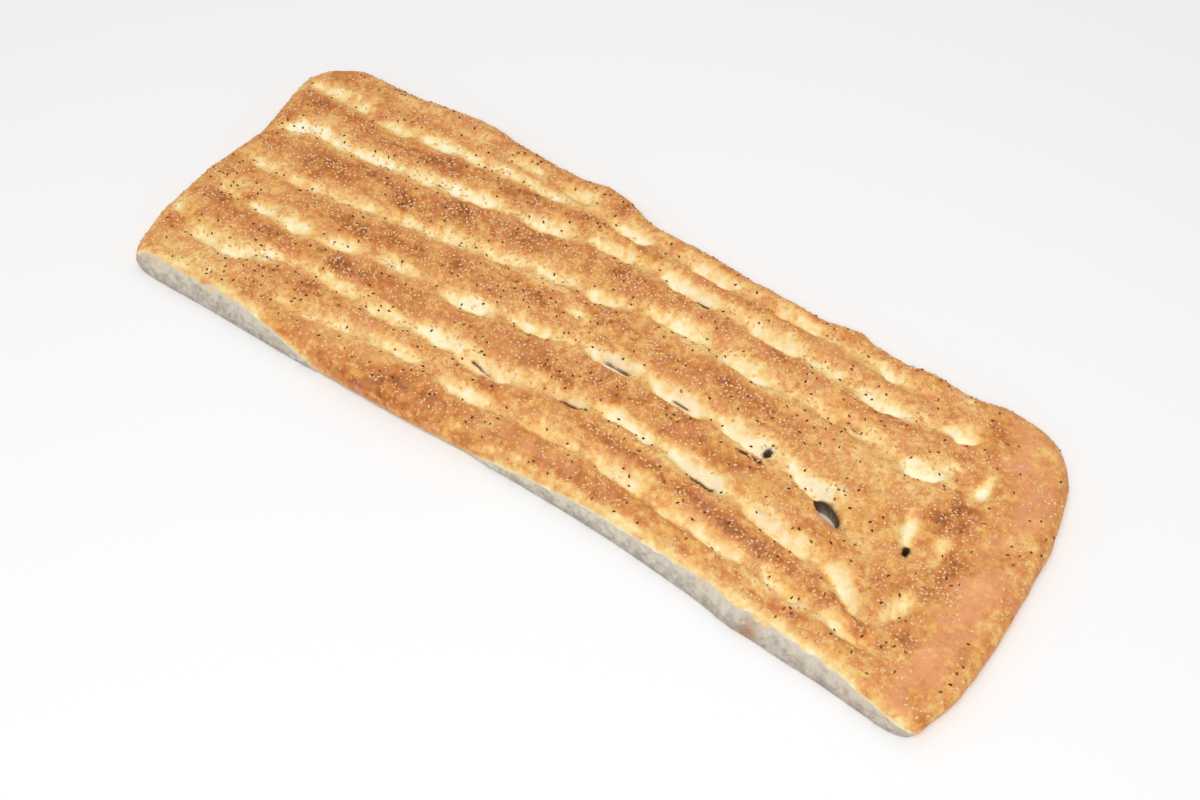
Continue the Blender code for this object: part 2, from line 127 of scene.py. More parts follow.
pressing = {
    "grip": 1.25,         # half width of what a finger moves, in half rows of the grid
    "channelReach": 12,
    "pressReach": 9.5,
    "pressLean": 0.42,    # how far a press leans towards the near side, as a share of its depth
    "halfWidth": 11,
    "roundEnd": 0.6,      # share of the half width by which a press's ends are rounded off
    "lightTouch": (-200, 60, 0.6),    # up to the first x presses have this share of their depth
    # short presses off the furrows: (x, y, length, depth, turn in degrees, how pale)
    "lone": ((316, 50, 22, 7, 80, 0.9), (287, -9, 28, 7, -75, 1), (314, -12, 18, 6, 85, 0.75),
             (311, -70, 26, 6, 80, 0.9), (-22, 12, 10, 5, 0, 0.8)),
    "cross": {"x": 303, "reach": 24, "halfLength": 100, "depth": 2.2},
    # thin folds at the foot of a ridge, darkened with painted shade: (x, y) at both ends, depth, strength
    # of the painted shade
    "slits": (((20, -8.2), (44, -8.4), 2.5, 0.9), ((84, -8.8), (99, -9.2), 1.5, 0.65),
              ((151, -22.3), (171, -23), 3, 1), ((-64, -70), (-43, -70.5), 2, 0.7),
              ((13, -57), (38, -57.5), 3, 0.9), ((122, -58.5), (154, -59), 2.5, 0.85),
              ((22, 78.5), (29, 77.5), 1.5, 0.7), ((46, 83), (60, 83), 1.5, 0.8),
              ((196, 46.5), (200, 46.3), 2, 0.6), ((209, 46.3), (215, 46), 2, 0.7),
              ((-110, 115), (-80, 114.5), 1, 0.45), ((280, 49), (289, 53), 1.5, 0.45),
              ((266, -85), (291, -91.5), 1.5, 0.65)),
    "slitGrip": 1.1,
    "slitReach": 4.2,
    "slitLean": 0.3,
}
# Torn openings, cut with ragged tapered plugs
openings = {
    # (x, y, half length, half width, depth below the crust, turn in degrees); None goes through
    "places": ((231, -30, 12.5, 5.2, None, -20), (169.5, -10.5, 3.2, 2.6, 8, 0),
               (293, -26, 5.5, 2.2, 8, -82)),
    "above": 8,           # from the ridges up to the plug's top
    "below": 4,           # from the table down to its foot, where it goes through
    "bed": 8,             # from the ridges down to the crust around
    "lean": 0.16,         # of the one that goes through, in radians
    "sides": 26,
    "foot": 0.85,         # width at the foot and at the top
    "top": 1.15,
    "ragged": 0.55,
    "draw": 2,
}


def fall(t):
    # 1 at 0, easing to 0 at 1
    t = np.clip(t, 0, 1)
    return 1 - t * t * (3 - 2 * t)


def rise(low, high, value):
    # 0 at low, easing to 1 at high, whichever is the larger
    return 1 - fall((value - low) / (high - low))


def lightly(x, start, end, least):
    # least at start and to its left, easing to 1 at end
    return 1 - (1 - least) * fall((x - start) / (end - start))


def smoothLine(points, steps, closed):
    # a smooth curve through the points
    points = np.array(points, float)
    count = len(points)
    if closed:
        before, after = np.roll(points, 1, axis=0), np.roll(points, -1, axis=0)
    else:
        before = np.vstack([points[:1], points[:-1]])
        after = np.vstack([points[1:], points[-1:]])
    slope = (after - before) / np.linalg.norm(after - before, axis=1, keepdims=True)
    curve = []
    for i in range(count if closed else count - 1):
        j = (i + 1) % count
        reach = np.linalg.norm(points[j] - points[i])
        for t in np.arange(steps) / steps:
            curve.append(points[i] * (1 + 2 * t) * (1 - t) ** 2 + points[j] * t * t * (3 - 2 * t)
                         + reach * (slope[i] * t * (1 - t) ** 2 - slope[j] * t * t * (1 - t)))
    if not closed:
        curve.append(points[-1])
    return np.array(curve)


def loafOutline():
    # closed outline, clockwise from the far left corner, and where its corners are in it
    sides = (
        [(x, bread["halfWidth"] + out) for x, out in bread["farSide"]],
        [(bread["halfLength"] + out, y) for y, out in bread["rightEnd"]],
        [(x, -bread["halfWidth"] - out) for x, out in bread["nearSide"]],
        [(-bread["halfLength"] - out, y) for y, out in bread["leftEnd"]],
    )
    points, cornerAt = [], []
    for corner, side in zip(bread["corners"], sides):
        cornerAt.append(len(points) * bread["loopSteps"])
        points += [corner, *side]
    return smoothLine(points, bread["loopSteps"], closed=True), cornerAt


loop, cornerAt = loafOutline()


def sidePlaces(start, end, shares):
    # places at those shares of one side's length
    stretch = np.vstack([loop, loop[:1]])[start:end + 1]
    length = np.concatenate([[0], np.cumsum(np.linalg.norm(np.diff(stretch, axis=0), axis=1))])
    wanted = np.asarray(shares) * length[-1]
    return np.stack([np.interp(wanted, length, stretch[:, k]) for k in (0, 1)], axis=1)


def graded(count, size, first, last):
    # count + 1 shares from 0 to 1 that crowd towards both edges
    first, last = np.array(first) / size, np.array(last) / size
    inner = np.linspace(first[-1], 1 - last[-1], count + 3 - len(first) - len(last))
    return np.concatenate([first[:-1], inner, (1 - last[:-1])[::-1]])


def loafPlaces():
    # the grid's places in plan, where each side's shape fades towards the opposite side
    ends = bread["endSteps"]
    u = graded(bread["columns"], 2 * bread["halfLength"], ends, ends)
    v = graded(bread["rows"], 2 * bread["halfWidth"], bread["nearSteps"], ends)
    farLeft, farRight, nearRight, nearLeft = cornerAt
    far = sidePlaces(farLeft, farRight, u)
    right = sidePlaces(farRight, nearRight, 1 - v)
    near = sidePlaces(nearRight, nearLeft, 1 - u)
    left = sidePlaces(nearLeft, len(loop), v)
    u, v = u[None, :, None], v[:, None, None]
    ruled = near[None] * (1 - v) + far[None] * v + left[:, None] * (1 - u) + right[:, None] * u
    shared = ((1 - u) * (1 - v) * near[0] + u * (1 - v) * near[-1]
              + (1 - u) * v * far[0] + u * v * far[-1])
    return (ruled - shared).reshape(-1, 2)


def nearestOnOutline(places):
    # distance to the outline and the outward direction there, a few thousand places at a time
    along = np.roll(loop, -1, axis=0) - loop
    outward = np.stack([-along[:, 1], along[:, 0]], axis=1)
    outward /= np.linalg.norm(outward, axis=1, keepdims=True)
    distances, directions = [], []
    for start in range(0, len(places), 4000):
        some = places[start:start + 4000, None]
        share = ((some - loop) * along).sum(-1) / (along * along).sum(-1)
        foot = loop + np.clip(share, 0, 1)[..., None] * along
        distance = np.linalg.norm(some - foot, axis=-1)
        nearest = distance.argmin(axis=1)
        distances.append(distance[np.arange(len(some)), nearest])
        directions.append(outward[nearest])
    return np.concatenate(distances), np.concatenate(directions)


def tornShare(x, outward):
    # how much of the edge there is torn, how far it leans out, and the height of its lip
    stations, torn, lean, lip = np.array(bread["tornSide"]).T
    facing = np.clip(-outward[:, 1], 0, 1) ** 2
    return np.interp(x, stations, torn) * facing, np.interp(x, stations, lean), np.interp(x, stations, lip)


def furrowLine(furrow):
    # y and slope of a furrow's path as functions of x
    path = smoothLine(furrow["path"], bread["pathSteps"], closed=False)
    slopes = np.diff(path[:, 1]) / np.diff(path[:, 0])

    def lineAt(x):
        return np.interp(x, path[:, 0], path[:, 1]), np.interp(x, path[:-1, 0], slopes)
    return lineAt, path[0, 0], path[-1, 0]


def allPresses():
    # every press as (x, y, length, depth, turn, how pale)
    found = [(x, y, length, depth, math.radians(turn), pale)
             for x, y, length, depth, turn, pale in pressing["lone"]]
    for furrow in furrows:
        lineAt, start, end = furrowLine(furrow)
        for x, length, depth, pale in furrow["presses"]:
            y, slope = lineAt(x)
            found.append((x, float(y), length, depth, math.atan(float(slope)), pale))
    return found


presses = allPresses()


def barBetween(start, end):
    # middle, half length and turn of the straight line between two places
    middle = ((start[0] + end[0]) / 2, (start[1] + end[1]) / 2)
    return middle, math.dist(start, end) / 2, math.atan2(end[1] - start[1], end[0] - start[0])


def awayFromBar(x, y, at, halfBar, turn):
    # along and across distances from a short straight bar
    cos, sin = math.cos(turn), math.sin(turn)
    along = (x - at[0]) * cos + (y - at[1]) * sin
    across = (y - at[1]) * cos - (x - at[0]) * sin
    return np.maximum(np.abs(along) - halfBar, 0), across


def plainHeight(x, y):
    # the crust before any press
    (longX, longY), (shortX, shortY) = bread["longWaves"], bread["shortWaves"]
    swell = np.sin(x / longX) * np.cos(y / longY) + np.sin(x / shortX + y / shortY) / 2
    return bread["thickness"] + bread["swell"] * swell


def edgeValue(name, torn):
    # between the rounded crust edge's value and the torn one's
    return bread["crustEdge"][name] * (1 - torn) + bread["tornEdge"][name] * torn


def edgeProfile(height, distance, torn, lean):
    # how the crust falls to its widest line as the outline comes near
    widest = np.minimum(edgeValue("widest", torn), height * bread["widestShare"])
    inward = np.clip(distance / (edgeValue("reach", torn) + lean * torn), 0, 1)
    power = edgeValue("power", torn)
    return widest + (height - widest) * (1 - (1 - inward) ** power) ** (1 / power)


def onlySelect(piece):
    bpy.ops.object.select_all(action="DESELECT")
    piece.select_set(True)
    bpy.context.view_layer.objects.active = piece


def coordsOf(piece):
    coords = np.zeros(len(piece.data.vertices) * 3)
    piece.data.vertices.foreach_get("co", coords)
    return coords.reshape(-1, 3) / mm


def setCoords(piece, coords):
    piece.data.vertices.foreach_set("co", (coords * mm).ravel())
    piece.data.update()


def startEdit(piece, selectBy):
    # edit mode with nothing selected, and the mesh there
    onlySelect(piece)
    bpy.ops.object.mode_set(mode="EDIT")
    bpy.ops.mesh.select_mode(type=selectBy)
    bpy.ops.mesh.select_all(action="DESELECT")
    shape = bmesh.from_edit_mesh(piece.data)
    shape.verts.ensure_lookup_table()
    return shape


def applyModifier(piece, kind, settings):
    added = piece.modifiers.new(kind.title(), kind)
    for name, value in settings.items():
        setattr(added, name, value)
    onlySelect(piece)
    bpy.ops.object.modifier_apply(modifier=added.name)


def pushIn(shape, piece, chosen, move, reach):
    # moves the chosen vertices, their neighbours following softly, as with proportional editing
    bpy.ops.mesh.select_all(action="DESELECT")
    for index in np.flatnonzero(chosen):
        shape.verts[index].select = True
    shape.select_flush_mode()
    bmesh.update_edit_mesh(piece.data)
    bpy.ops.transform.translate(value=[part * mm for part in move], use_proportional_edit=True,
                                proportional_edit_falloff="SMOOTH", proportional_size=reach * mm)


def pressFurrows(piece, plan):
    # the baker's fingers: first the channels, then each press in them
    x, y = plan.T
    grip = bread["halfWidth"] / bread["rows"] * pressing["grip"]
    shape = startEdit(piece, "VERT")
    cross = pressing["cross"]
    inCross = (np.abs(x - cross["x"]) < grip) & (np.abs(y) < cross["halfLength"])
    pushIn(shape, piece, inCross, (0, 0, -cross["depth"]), cross["reach"])
    for droopX, droopY, reach, depth in bread["droops"]:
        inDroop = np.hypot(x - droopX, y - droopY) < bread["droopGrip"]
        pushIn(shape, piece, inDroop, (0, 0, -depth), reach)
    for furrow in furrows:
        lineAt, start, end = furrowLine(furrow)
        middle, slope = lineAt(x)
        inChannel = (np.abs(y - middle) < grip) & (x > start) & (x < end)
        pushIn(shape, piece, inChannel, (0, 0, -furrow["channel"]), pressing["channelReach"])
    for pressX, pressY, length, depth, turn, pale in presses:
        halfBar = max(length / 2 - pressing["roundEnd"] * pressing["halfWidth"], 0)
        beyond, across = awayFromBar(x, y, (pressX, pressY), halfBar, turn)
        lean = pressing["pressLean"] * depth * math.cos(turn)
        pushIn(shape, piece, np.hypot(beyond, across) < grip, (0, -lean, -depth), pressing["pressReach"])
    bpy.ops.object.mode_set(mode="OBJECT")


def cutSlits(piece):
    # narrow folds where a ridge leans over the press beside it
    x, y, _ = coordsOf(piece).T
    shape = startEdit(piece, "VERT")
    for start, end, depth, shadeStrength in pressing["slits"]:
        beyond, across = awayFromBar(x, y, *barBetween(start, end))
        inSlit = np.hypot(beyond, across) < pressing["slitGrip"]
        pushIn(shape, piece, inSlit, (0, -pressing["slitLean"] * depth, -depth), pressing["slitReach"])
    bpy.ops.object.mode_set(mode="OBJECT")


def closeUnderneath(piece):
    # extrudes the border down in rings that tuck in towards the flat underside
    shape = startEdit(piece, "EDGE")
    for edge in shape.edges:
        edge.select = edge.is_boundary
    shape.select_flush_mode()
    bmesh.update_edit_mesh(piece.data)
    for heightShare, tuckShare in bread["rings"]:
        bpy.ops.mesh.extrude_region_move(TRANSFORM_OT_translate={"value": (0, 0, -mm)})
        shape = bmesh.from_edit_mesh(piece.data)
        ring = [vert for vert in shape.verts if vert.select]
        here = np.array([vert.co for vert in ring]) / mm + (0, 0, 1)
        _, outward = nearestOnOutline(here[:, :2])
        torn, _, _ = tornShare(here[:, 0], outward)
        here[:, :2] -= outward * (edgeValue("tuck", torn) * tuckShare)[:, None]
        here[:, 2] *= heightShare
        for vert, place in zip(ring, here):
            vert.co = Vector(place) * mm
        bmesh.update_edit_mesh(piece.data)
    bpy.ops.mesh.edge_face_add()
    bpy.ops.mesh.quads_convert_to_tris(quad_method="BEAUTY", ngon_method="BEAUTY")
    bpy.ops.mesh.select_all(action="SELECT")
    bpy.ops.mesh.normals_make_consistent(inside=False)
    bpy.ops.object.mode_set(mode="OBJECT")


# Swells, blisters and grain on the crust, and crumb where it is torn: (name, size, height, vertex group)
lumps = (
    ("swell", 30, 2.4, "crust"),
    ("blister", 11, 1.3, "crust"),
    ("grain", 4, 0.5, "crust"),
    ("clot", 9, 2.8, "torn"),
    ("crumb", 3.2, 1.8, "torn"),
)


def normalsOf(piece):
    found = np.zeros(len(piece.data.vertices) * 3)
    piece.data.vertex_normals.foreach_get("vector", found)
    return found.reshape(-1, 3)


def wallShare(coords, normals):
    # where the side is torn open: steep, and below the lip of the crust
    distance, outward = nearestOnOutline(coords[:, :2])
    torn, lean, lip = tornShare(coords[:, 0], outward)
    steep = rise(0.08, 0.5, 1 - normals[:, 2])
    below = 1 - rise(lip - 3, lip + 2, coords[:, 2])
    return np.minimum(torn * 1.6, 1) * steep * (distance < lean + 6) * below


def roughen(piece):
    # lumps everywhere but at the foot, which stays flat
    coords = coordsOf(piece)
    wall = wallShare(coords, normalsOf(piece))
    raised = rise(1, 5, coords[:, 2])
    for name, share in (("crust", raised * (1 - 0.7 * wall)), ("torn", raised * wall)):
        group = piece.vertex_groups.new(name=name)
        for index in np.flatnonzero(share > 0.01):
            group.add([int(index)], float(share[index]), "REPLACE")
    for name, size, height, group in lumps:
        cloud = bpy.data.textures.new(name, "CLOUDS")
        cloud.noise_scale = size * mm
        applyModifier(piece, "DISPLACE", {"texture": cloud, "texture_coords": "LOCAL", "mid_level": 0.5,
                                          "strength": height * mm, "vertex_group": group})
    piece.vertex_groups.clear()


def cutOpenings(piece):
    for number, (x, y, halfLength, halfWidth, depth, turn) in enumerate(openings["places"]):
        top = bread["thickness"] + openings["above"]
        foot, lean = -openings["below"], openings["lean"]
        if depth is not None:
            foot, lean = bread["thickness"] - openings["bed"] - depth, 0
        bpy.ops.object.select_all(action="DESELECT")
        bpy.ops.mesh.primitive_cone_add(vertices=openings["sides"], radius1=openings["foot"],
                                        radius2=openings["top"], depth=(top - foot) * mm,
                                        location=(x * mm, y * mm, (top + foot) / 2 * mm),
                                        rotation=(lean, 0, math.radians(turn)),
                                        scale=(halfLength * mm, halfWidth * mm, 1))
        plug = bpy.context.object
        bpy.ops.object.mode_set(mode="EDIT")
        bpy.ops.mesh.subdivide(number_cuts=3)
        bpy.ops.transform.vertex_random(offset=openings["ragged"] * mm, seed=openings["draw"] + number)
        bpy.ops.object.mode_set(mode="OBJECT")
        bpy.ops.object.transform_apply(location=True, rotation=True, scale=True)
        applyModifier(piece, "BOOLEAN", {"object": plug, "operation": "DIFFERENCE", "solver": "MANIFOLD"})
        bpy.data.objects.remove(plug, do_unlink=True)


def modelLoaf():
    bpy.ops.object.select_all(action="DESELECT")
    bpy.ops.mesh.primitive_grid_add(x_subdivisions=bread["columns"], y_subdivisions=bread["rows"], size=1)
    piece = bpy.context.object
    piece.name = piece.data.name = "barbariLoaf"
    plan = loafPlaces()
    flat = np.column_stack([plan, plainHeight(*plan.T)])
    setCoords(piece, flat)
    pressFurrows(piece, plan)
    coords = flat + (coordsOf(piece) - flat) * lightly(plan[:, :1], *pressing["lightTouch"])
    print("furrows pressed")

    # round the edge off, and keep the presses' lean out of it
    distance, outward = nearestOnOutline(plan)
    torn, lean, _ = tornShare(plan[:, 0], outward)
    height = np.maximum(coords[:, 2], bread["thinnest"])
    inside = rise(0, bread["crustEdge"]["reach"], distance)[:, None]
    coords[:, :2] = plan + (coords[:, :2] - plan) * inside
    coords[:, 2] = edgeProfile(height, distance, torn, lean)
    setCoords(piece, coords)
    applyModifier(piece, "SUBSURF", {"levels": 1, "render_levels": 1, "boundary_smooth": "ALL"})
    cutSlits(piece)
    closeUnderneath(piece)
    print("loaf closed")

    roughen(piece)
    cutOpenings(piece)
    onlySelect(piece)
    bpy.ops.object.shade_smooth_by_angle(angle=math.radians(65))
    for face in piece.data.polygons:
        face.use_smooth = face.normal.z > -0.99     # the underside stays flat
    print("crust roughened, openings torn")
    return piece


# Browning from 0, pale dough, to 1, dark brown, with some painted light and shade mixed in where noted
browning = {
    "ridge": 0.6,
    # how much paler a channel, a press and the crest over the torn side are
    "channel": 0.2,
    "press": 0.43,
    "crest": 0.35,
    "channelShift": 1.5,  # towards the far side
    "channelReach": 16,
    "channelFull": 5,     # depth of one that counts in full
    "crestReach": 11,
    # outline of a press's pale patch, which is crisp at the near ridge's foot and soft on the far slope,
    # where the paler dough also carries painted light
    "pressEnd": 9,        # past the ends of the press
    "pressHalf": 12.1,
    "pressNear": 0.62,    # narrower by this on the near side
    "pressFull": 0.1,     # share of the patch that is as pale as can be
    "lightTouch": (-260, -60, 0.8),
    # how the patches wander from the presses, as waves of (strength, size, seed)
    "wanderAlong": ((6, 15, 31),),
    "wanderAcross": ((3, 13, 47), (2, 4.5, 53)),
    # half width of a slit's line of painted shade, and how its ends fade
    "slitHalf": 2.9,
    "slitEnd": 3,
    # margin of an opening's painted shade, dark on its wall and rim, and where it fades, as shares of its
    # size
    "openingMargin": 0.6,
    "openingFade": (1.2, 0.95),
    # darker (+) and paler (-) patches: (x, y, half length, half width, amount)
    "patches": (
        # ridge behind the second furrow
        (-340, 72, 16, 8, 0.27), (-310, 76, 25, 8, 0.12), (-250, 75, 25, 9, 0.16), (-202, 77, 22, 8, 0.28),
        (-150, 88, 30, 6, 0.32), (-115, 96, 22, 5, 0.2), (-68, 103, 15, 5, 0.28), (-64, 85, 9, 8, 0.15),
        (-8, 95, 10, 5, 0.42), (-85, 64, 32, 7, 0.22), (-10, 68, 25, 8, 0.14), (60, 72, 30, 6, 0.12),
        (150, 68, 28, 6, 0.14), (235, 68, 20, 4, 0.15), (100, 97, 16, 5, 0.15), (-212, 96, 22, 5, -0.25),
        (-152, 104, 22, 4, -0.3), (-270, 89, 12, 4, -0.12), (-332, 92, 8, 7, -0.2), (-290, 92, 11, 5, 0.45),
        (-322, 95, 7, 5, 0.2), (-224, 86, 14, 6, -0.12), (-274, 80, 10, 5, -0.15), (-4, 112, 8, 8, 0.18),
        (-180, 73, 28, 7, 0.12), (-94, 103, 12, 5, -0.12), (240, 78, 14, 5, -0.2), (196, 62, 16, 5, -0.1),
        (168, 70, 14, 5, -0.12), (-50, 115, 8, 9, 0.2), (-112, 122, 8, 7, 0.12), (-194, 105, 14, 5, 0.15),
        # ridge behind the third
        (-285, 20, 22, 9, 0.3), (-310, 32, 20, 6, 0.1), (-245, 33, 28, 7, 0.24), (-204, 24, 20, 11, 0.42),
        (-163, 44, 22, 10, 0.4), (-110, 52, 30, 9, 0.18), (-340, 10, 14, 8, 0.12), (-350, 44, 10, 10, 0.2),
        (-336, 37, 12, 6, -0.3), (-320, 46, 8, 5, -0.2), (-240, 51, 18, 5, -0.18), (-186, 60, 9, 5, -0.22),
        (-135, 70, 22, 5, -0.2), (165, 79, 18, 5, -0.22), (75, 88, 9, 5, -0.15), (-334, 35, 9, 7, -0.35),
        (-350, 40, 7, 8, 0.15), (-306, 47, 6, 6, 0.2), (-122, 58, 14, 5, -0.14), (-190, 50, 12, 5, -0.1),
        # ridge behind the fourth
        (-222, -20, 22, 8, 0.34), (-175, -10, 25, 8, 0.22), (-130, -2, 30, 7, 0.18), (-55, 8, 18, 6, 0.22),
        (0, 25, 22, 7, 0.14), (50, 16, 22, 8, 0.1), (115, 22, 30, 8, 0.16), (150, 20, 22, 9, 0.18),
        (235, 24, 44, 13, -0.22), (-285, -18, 18, 5, 0.12), (-288, -1, 6, 7, 0.25),
        (-337, -12, 12, 8, -0.15), (-180, 12, 12, 5, -0.15), (-135, 20, 16, 6, -0.15),
        (-60, 29, 20, 8, -0.3), (65, 42, 28, 5, -0.25), (8, 42, 10, 6, -0.15), (110, 49, 8, 5, 0.12),
        (158, 50, 12, 6, 0.14), (-242, -12, 16, 6, -0.12), (-210, 12, 9, 6, 0.16), (-285, 2, 9, 6, 0.1),
        (-80, 4, 22, 6, -0.1), (40, 36, 34, 3, -0.12), (135, 33, 18, 4, -0.14), (130, 48, 12, 4, 0.1),
        (255, 18, 12, 6, 0.1), (226, 46, 12, 6, -0.15), (-20, 42, 14, 5, 0.14), (-78, 42, 20, 5, 0.1),
        (24, 55, 12, 5, 0.14), (105, 38, 14, 4, -0.12), (292, 42, 8, 6, -0.25), (292, 92, 9, 6, 0.2),
        (268, 90, 7, 5, 0.15),
        # ridge behind the fifth
        (-345, -55, 14, 9, 0.25), (-325, -62, 22, 8, 0.2), (-270, -64, 30, 6, 0.18),
        (-205, -58, 24, 7, 0.34), (-150, -54, 28, 8, 0.14), (-90, -47, 28, 7, 0.12), (-40, -16, 9, 7, 0.15),
        (-30, -32, 26, 7, 0.16), (0, -46, 22, 6, 0.28), (60, -28, 38, 8, 0.1), (130, -32, 38, 8, 0.14),
        (180, -38, 28, 7, 0.1), (262, -42, 32, 9, -0.06), (265, 60, 30, 6, -0.12),
        (-295, -51, 22, 5, -0.22), (-170, -36, 14, 7, -0.15), (-100, -34, 12, 7, -0.15),
        (227, -12, 12, 7, -0.35), (166, -9, 8, 6, -0.3), (115, -6, 9, 6, -0.15), (-316, -46, 10, 6, 0.45),
        (-168, -57, 18, 5, -0.12), (256, -31, 12, 8, 0.2), (300, -32, 8, 10, -0.12),
        (-300, -63, 18, 5, -0.12), (-42, -10, 16, 5, 0.15), (60, -25, 12, 6, -0.16),
        (-332, -36, 12, 6, -0.14), (140, -24, 18, 6, -0.1), (-190, -29, 8, 6, 0.14),
        (-120, -28, 14, 5, 0.1), (52, -40, 12, 5, 0.14),
        # ridge behind the sixth
        (-245, -72, 22, 6, 0.26), (-240, -93, 20, 6, 0.16), (-205, -90, 22, 7, 0.16),
        (-45, -88, 35, 6, 0.14), (0, -72, 14, 6, 0.12), (30, -69, 18, 5, 0.1), (75, -73, 22, 6, 0.22),
        (110, -75, 22, 5, 0.2), (150, -78, 25, 6, 0.2), (185, -83, 28, 6, 0.28), (215, -87, 18, 5, 0.2),
        (250, -95, 24, 6, 0.3), (296, -101, 14, 8, 0.32), (-260, -85, 14, 6, -0.3),
        (-128, -71, 12, 4, -0.15), (-65, -64, 16, 4, -0.15), (58, -53, 14, 7, -0.2),
        (105, -55, 18, 5, -0.2), (128, -95, 10, 6, 0.14), (95, -43, 44, 4, 0.2),
        (104, -64.5, 20, 3.5, -0.3), (20, -69, 16, 4, -0.2), (-258, -91, 9, 6, -0.3),
        (-100, -86, 10, 5, 0.12), (60, -84, 12, 5, 0.12), (265, -84, 9, 4, -0.15), (268, -97, 14, 5, 0.16),
        (-62, -72, 14, 5, 0.12), (-130, -65, 16, 4, 0.12), (-203, -65, 14, 5, 0.12),
        (-130, -90, 12, 5, 0.1), (-30, -87, 10, 5, 0.12), (8, -90, 14, 5, 0.12), (134, -93, 8, 5, 0.12),
        (293, -98, 13, 9, 0.15), (287, -83, 9, 5, 0.12),
        # near side; the darker patches low along its edge, where it curves down, add painted shade to the
        # browning
        (-348, -91, 10, 9, 0.34), (-300, -122, 45, 9, -0.2), (-215, -121, 28, 5, 0.14),
        (-95, -120, 32, 9, 0.22), (-120, -136, 60, 6, 0.3), (-200, -133, 30, 6, 0.3),
        (-40, -114, 20, 6, 0.12), (-30, -133, 40, 5, 0.2), (68, -108, 28, 8, 0.16),
        (165, -105, 40, 3, 0.12), (250, -117, 14, 3, 0.2), (50, -127, 40, 4, 0.12), (335, -136, 28, 6, 0.3),
        (225, -109, 16, 4, -0.2), (255, -109, 35, 4, -0.2), (-60, -124, 40, 9, 0.1),
        (-100, -140, 40, 5, 0.15), (-330, -134, 20, 5, 0.15), (202, 46, 14, 4, 0.2),
        (70, -116, 30, 5, 0.12), (-186, -108, 10, 6, 0.12), (-285, -112, 12, 10, -0.1),
        (-25, -138, 26, 4, -0.15), (-120, -116, 36, 5, -0.1), (236, -113, 14, 5, -0.15),
        (100, -128, 90, 4, 0.12), (-190, -137, 40, 5, 0.1),
        # far side
        (-280, 121, 40, 6, -0.22), (-210, 118, 14, 6, -0.22), (140, 118, 14, 5, 0.18),
        (60, 120, 40, 4, 0.08), (-345, 110, 14, 8, 0.14), (-300, 113, 35, 6, 0.1), (-234, 105, 10, 6, 0.2),
        (-115, 118, 10, 6, 0.2), (-55, 126, 14, 9, 0.16), (100, 108, 14, 7, 0.1), (155, 115, 35, 4, 0.16),
        (250, 108, 18, 7, 0.12), (271, 116, 9, 6, -0.35), (302, 104, 12, 14, 0.16),
        # ridge that crosses at the right end
        (310, 30, 11, 12, 0.32), (300, 12, 9, 10, 0.2), (320, 10, 10, 10, 0.14), (328, -16, 8, 14, 0.34),
        (325, -38, 8, 8, 0.16), (325, -88, 8, 7, 0.2), (345, -80, 10, 9, 0.06), (326, -108, 10, 8, -0.2),
        (282, -14, 7, 11, -0.3), (316, 49, 7, 9, -0.25), (285, 56, 10, 6, -0.2),
    ),
    # brown stains on the torn side, and painted shade where the long patch at the right end darkens its
    # wall
    "scorchedAndShaded": ((232, -140, 7, 6, 1), (-148, -142, 6, 4, 0.8), (208, -146, 4, 3, 0.5),
                 (-60, -141, 14, 3, 0.4), (310, -147, 60, 8, 0.25), (-352, -138, 14, 10, 0.25)),
    # smooth, rosy patches with little seed: (x, y, half length, half width, amount)
    "rosy": ((352, -5, 26, 115, 0.5), (352, -32, 13, 28, 0.7), (347, -104, 15, 26, 0.8),
             (350, 55, 12, 28, 0.7), (332, 98, 16, 20, 0.75), (316, 116, 20, 10, 0.6),
             (336, -62, 10, 14, 0.4), (340, -135, 16, 8, 0.6), (30, -112, 28, 7, 0.7),
             (90, -112, 30, 6, 0.4), (-5, -108, 14, 6, 0.5), (-352, 112, 14, 12, 0.4)),
}


def patchSum(x, y, patches):
    total = np.zeros(len(x))
    for patchX, patchY, halfLength, halfWidth, amount in patches:
        total += amount * np.exp(-((x - patchX) / halfLength) ** 2 - ((y - patchY) / halfWidth) ** 2)
    return total


def waves(x, y, kinds):
    # noise over the plan, each kind from about -0.5 to 0.5 of its strength
    total = np.zeros(len(x))
    for strength, size, seed in kinds:
        total += strength * np.array([noise.noise(Vector((a / size, b / size, seed)))
                                      for a, b in zip(x, y)])
    return total


def paleOfPresses(x, y):
    # how pale the crust is at the presses: paler dough, with painted light on their far slopes
    pale = np.zeros(len(x))
    x = x + waves(x, y, browning["wanderAlong"])
    y = y + waves(x, y, browning["wanderAcross"])
    for pressX, pressY, length, depth, turn, amount in presses:
        along, across = awayFromBar(x, y, (pressX, pressY), 0, turn)
        across = np.where(across < 0, across / browning["pressNear"], across) / browning["pressHalf"]
        away = np.sqrt((along / (length / 2 + browning["pressEnd"])) ** 4 + across ** 2)
        pale = np.maximum(pale, amount * rise(1, browning["pressFull"], away))
    return pale * lightly(x, *browning["lightTouch"])


def inChannels(x, y):
    share = np.zeros(len(x))
    for furrow in furrows:
        lineAt, start, end = furrowLine(furrow)
        middle, slope = lineAt(x)
        across = (y - middle - browning["channelShift"]) / np.hypot(1, slope)
        pastEnd = np.maximum(start - x, 0) + np.maximum(x - end, 0)
        inside = fall(np.hypot(across, pastEnd) / browning["channelReach"])
        share = np.maximum(share, inside * furrow["channel"] / browning["channelFull"])
    return share


def inSlits(x, y):
    # share of painted shade along each slit
    share = np.zeros(len(x))
    for start, end, depth, shadeStrength in pressing["slits"]:
        middle, halfLength, turn = barBetween(start, end)
        beyond, across = awayFromBar(x, y, middle, halfLength - browning["slitEnd"], turn)
        away = np.hypot(beyond / browning["slitEnd"], across) / browning["slitHalf"]
        share = np.maximum(share, fall(away) * shadeStrength)
    return share


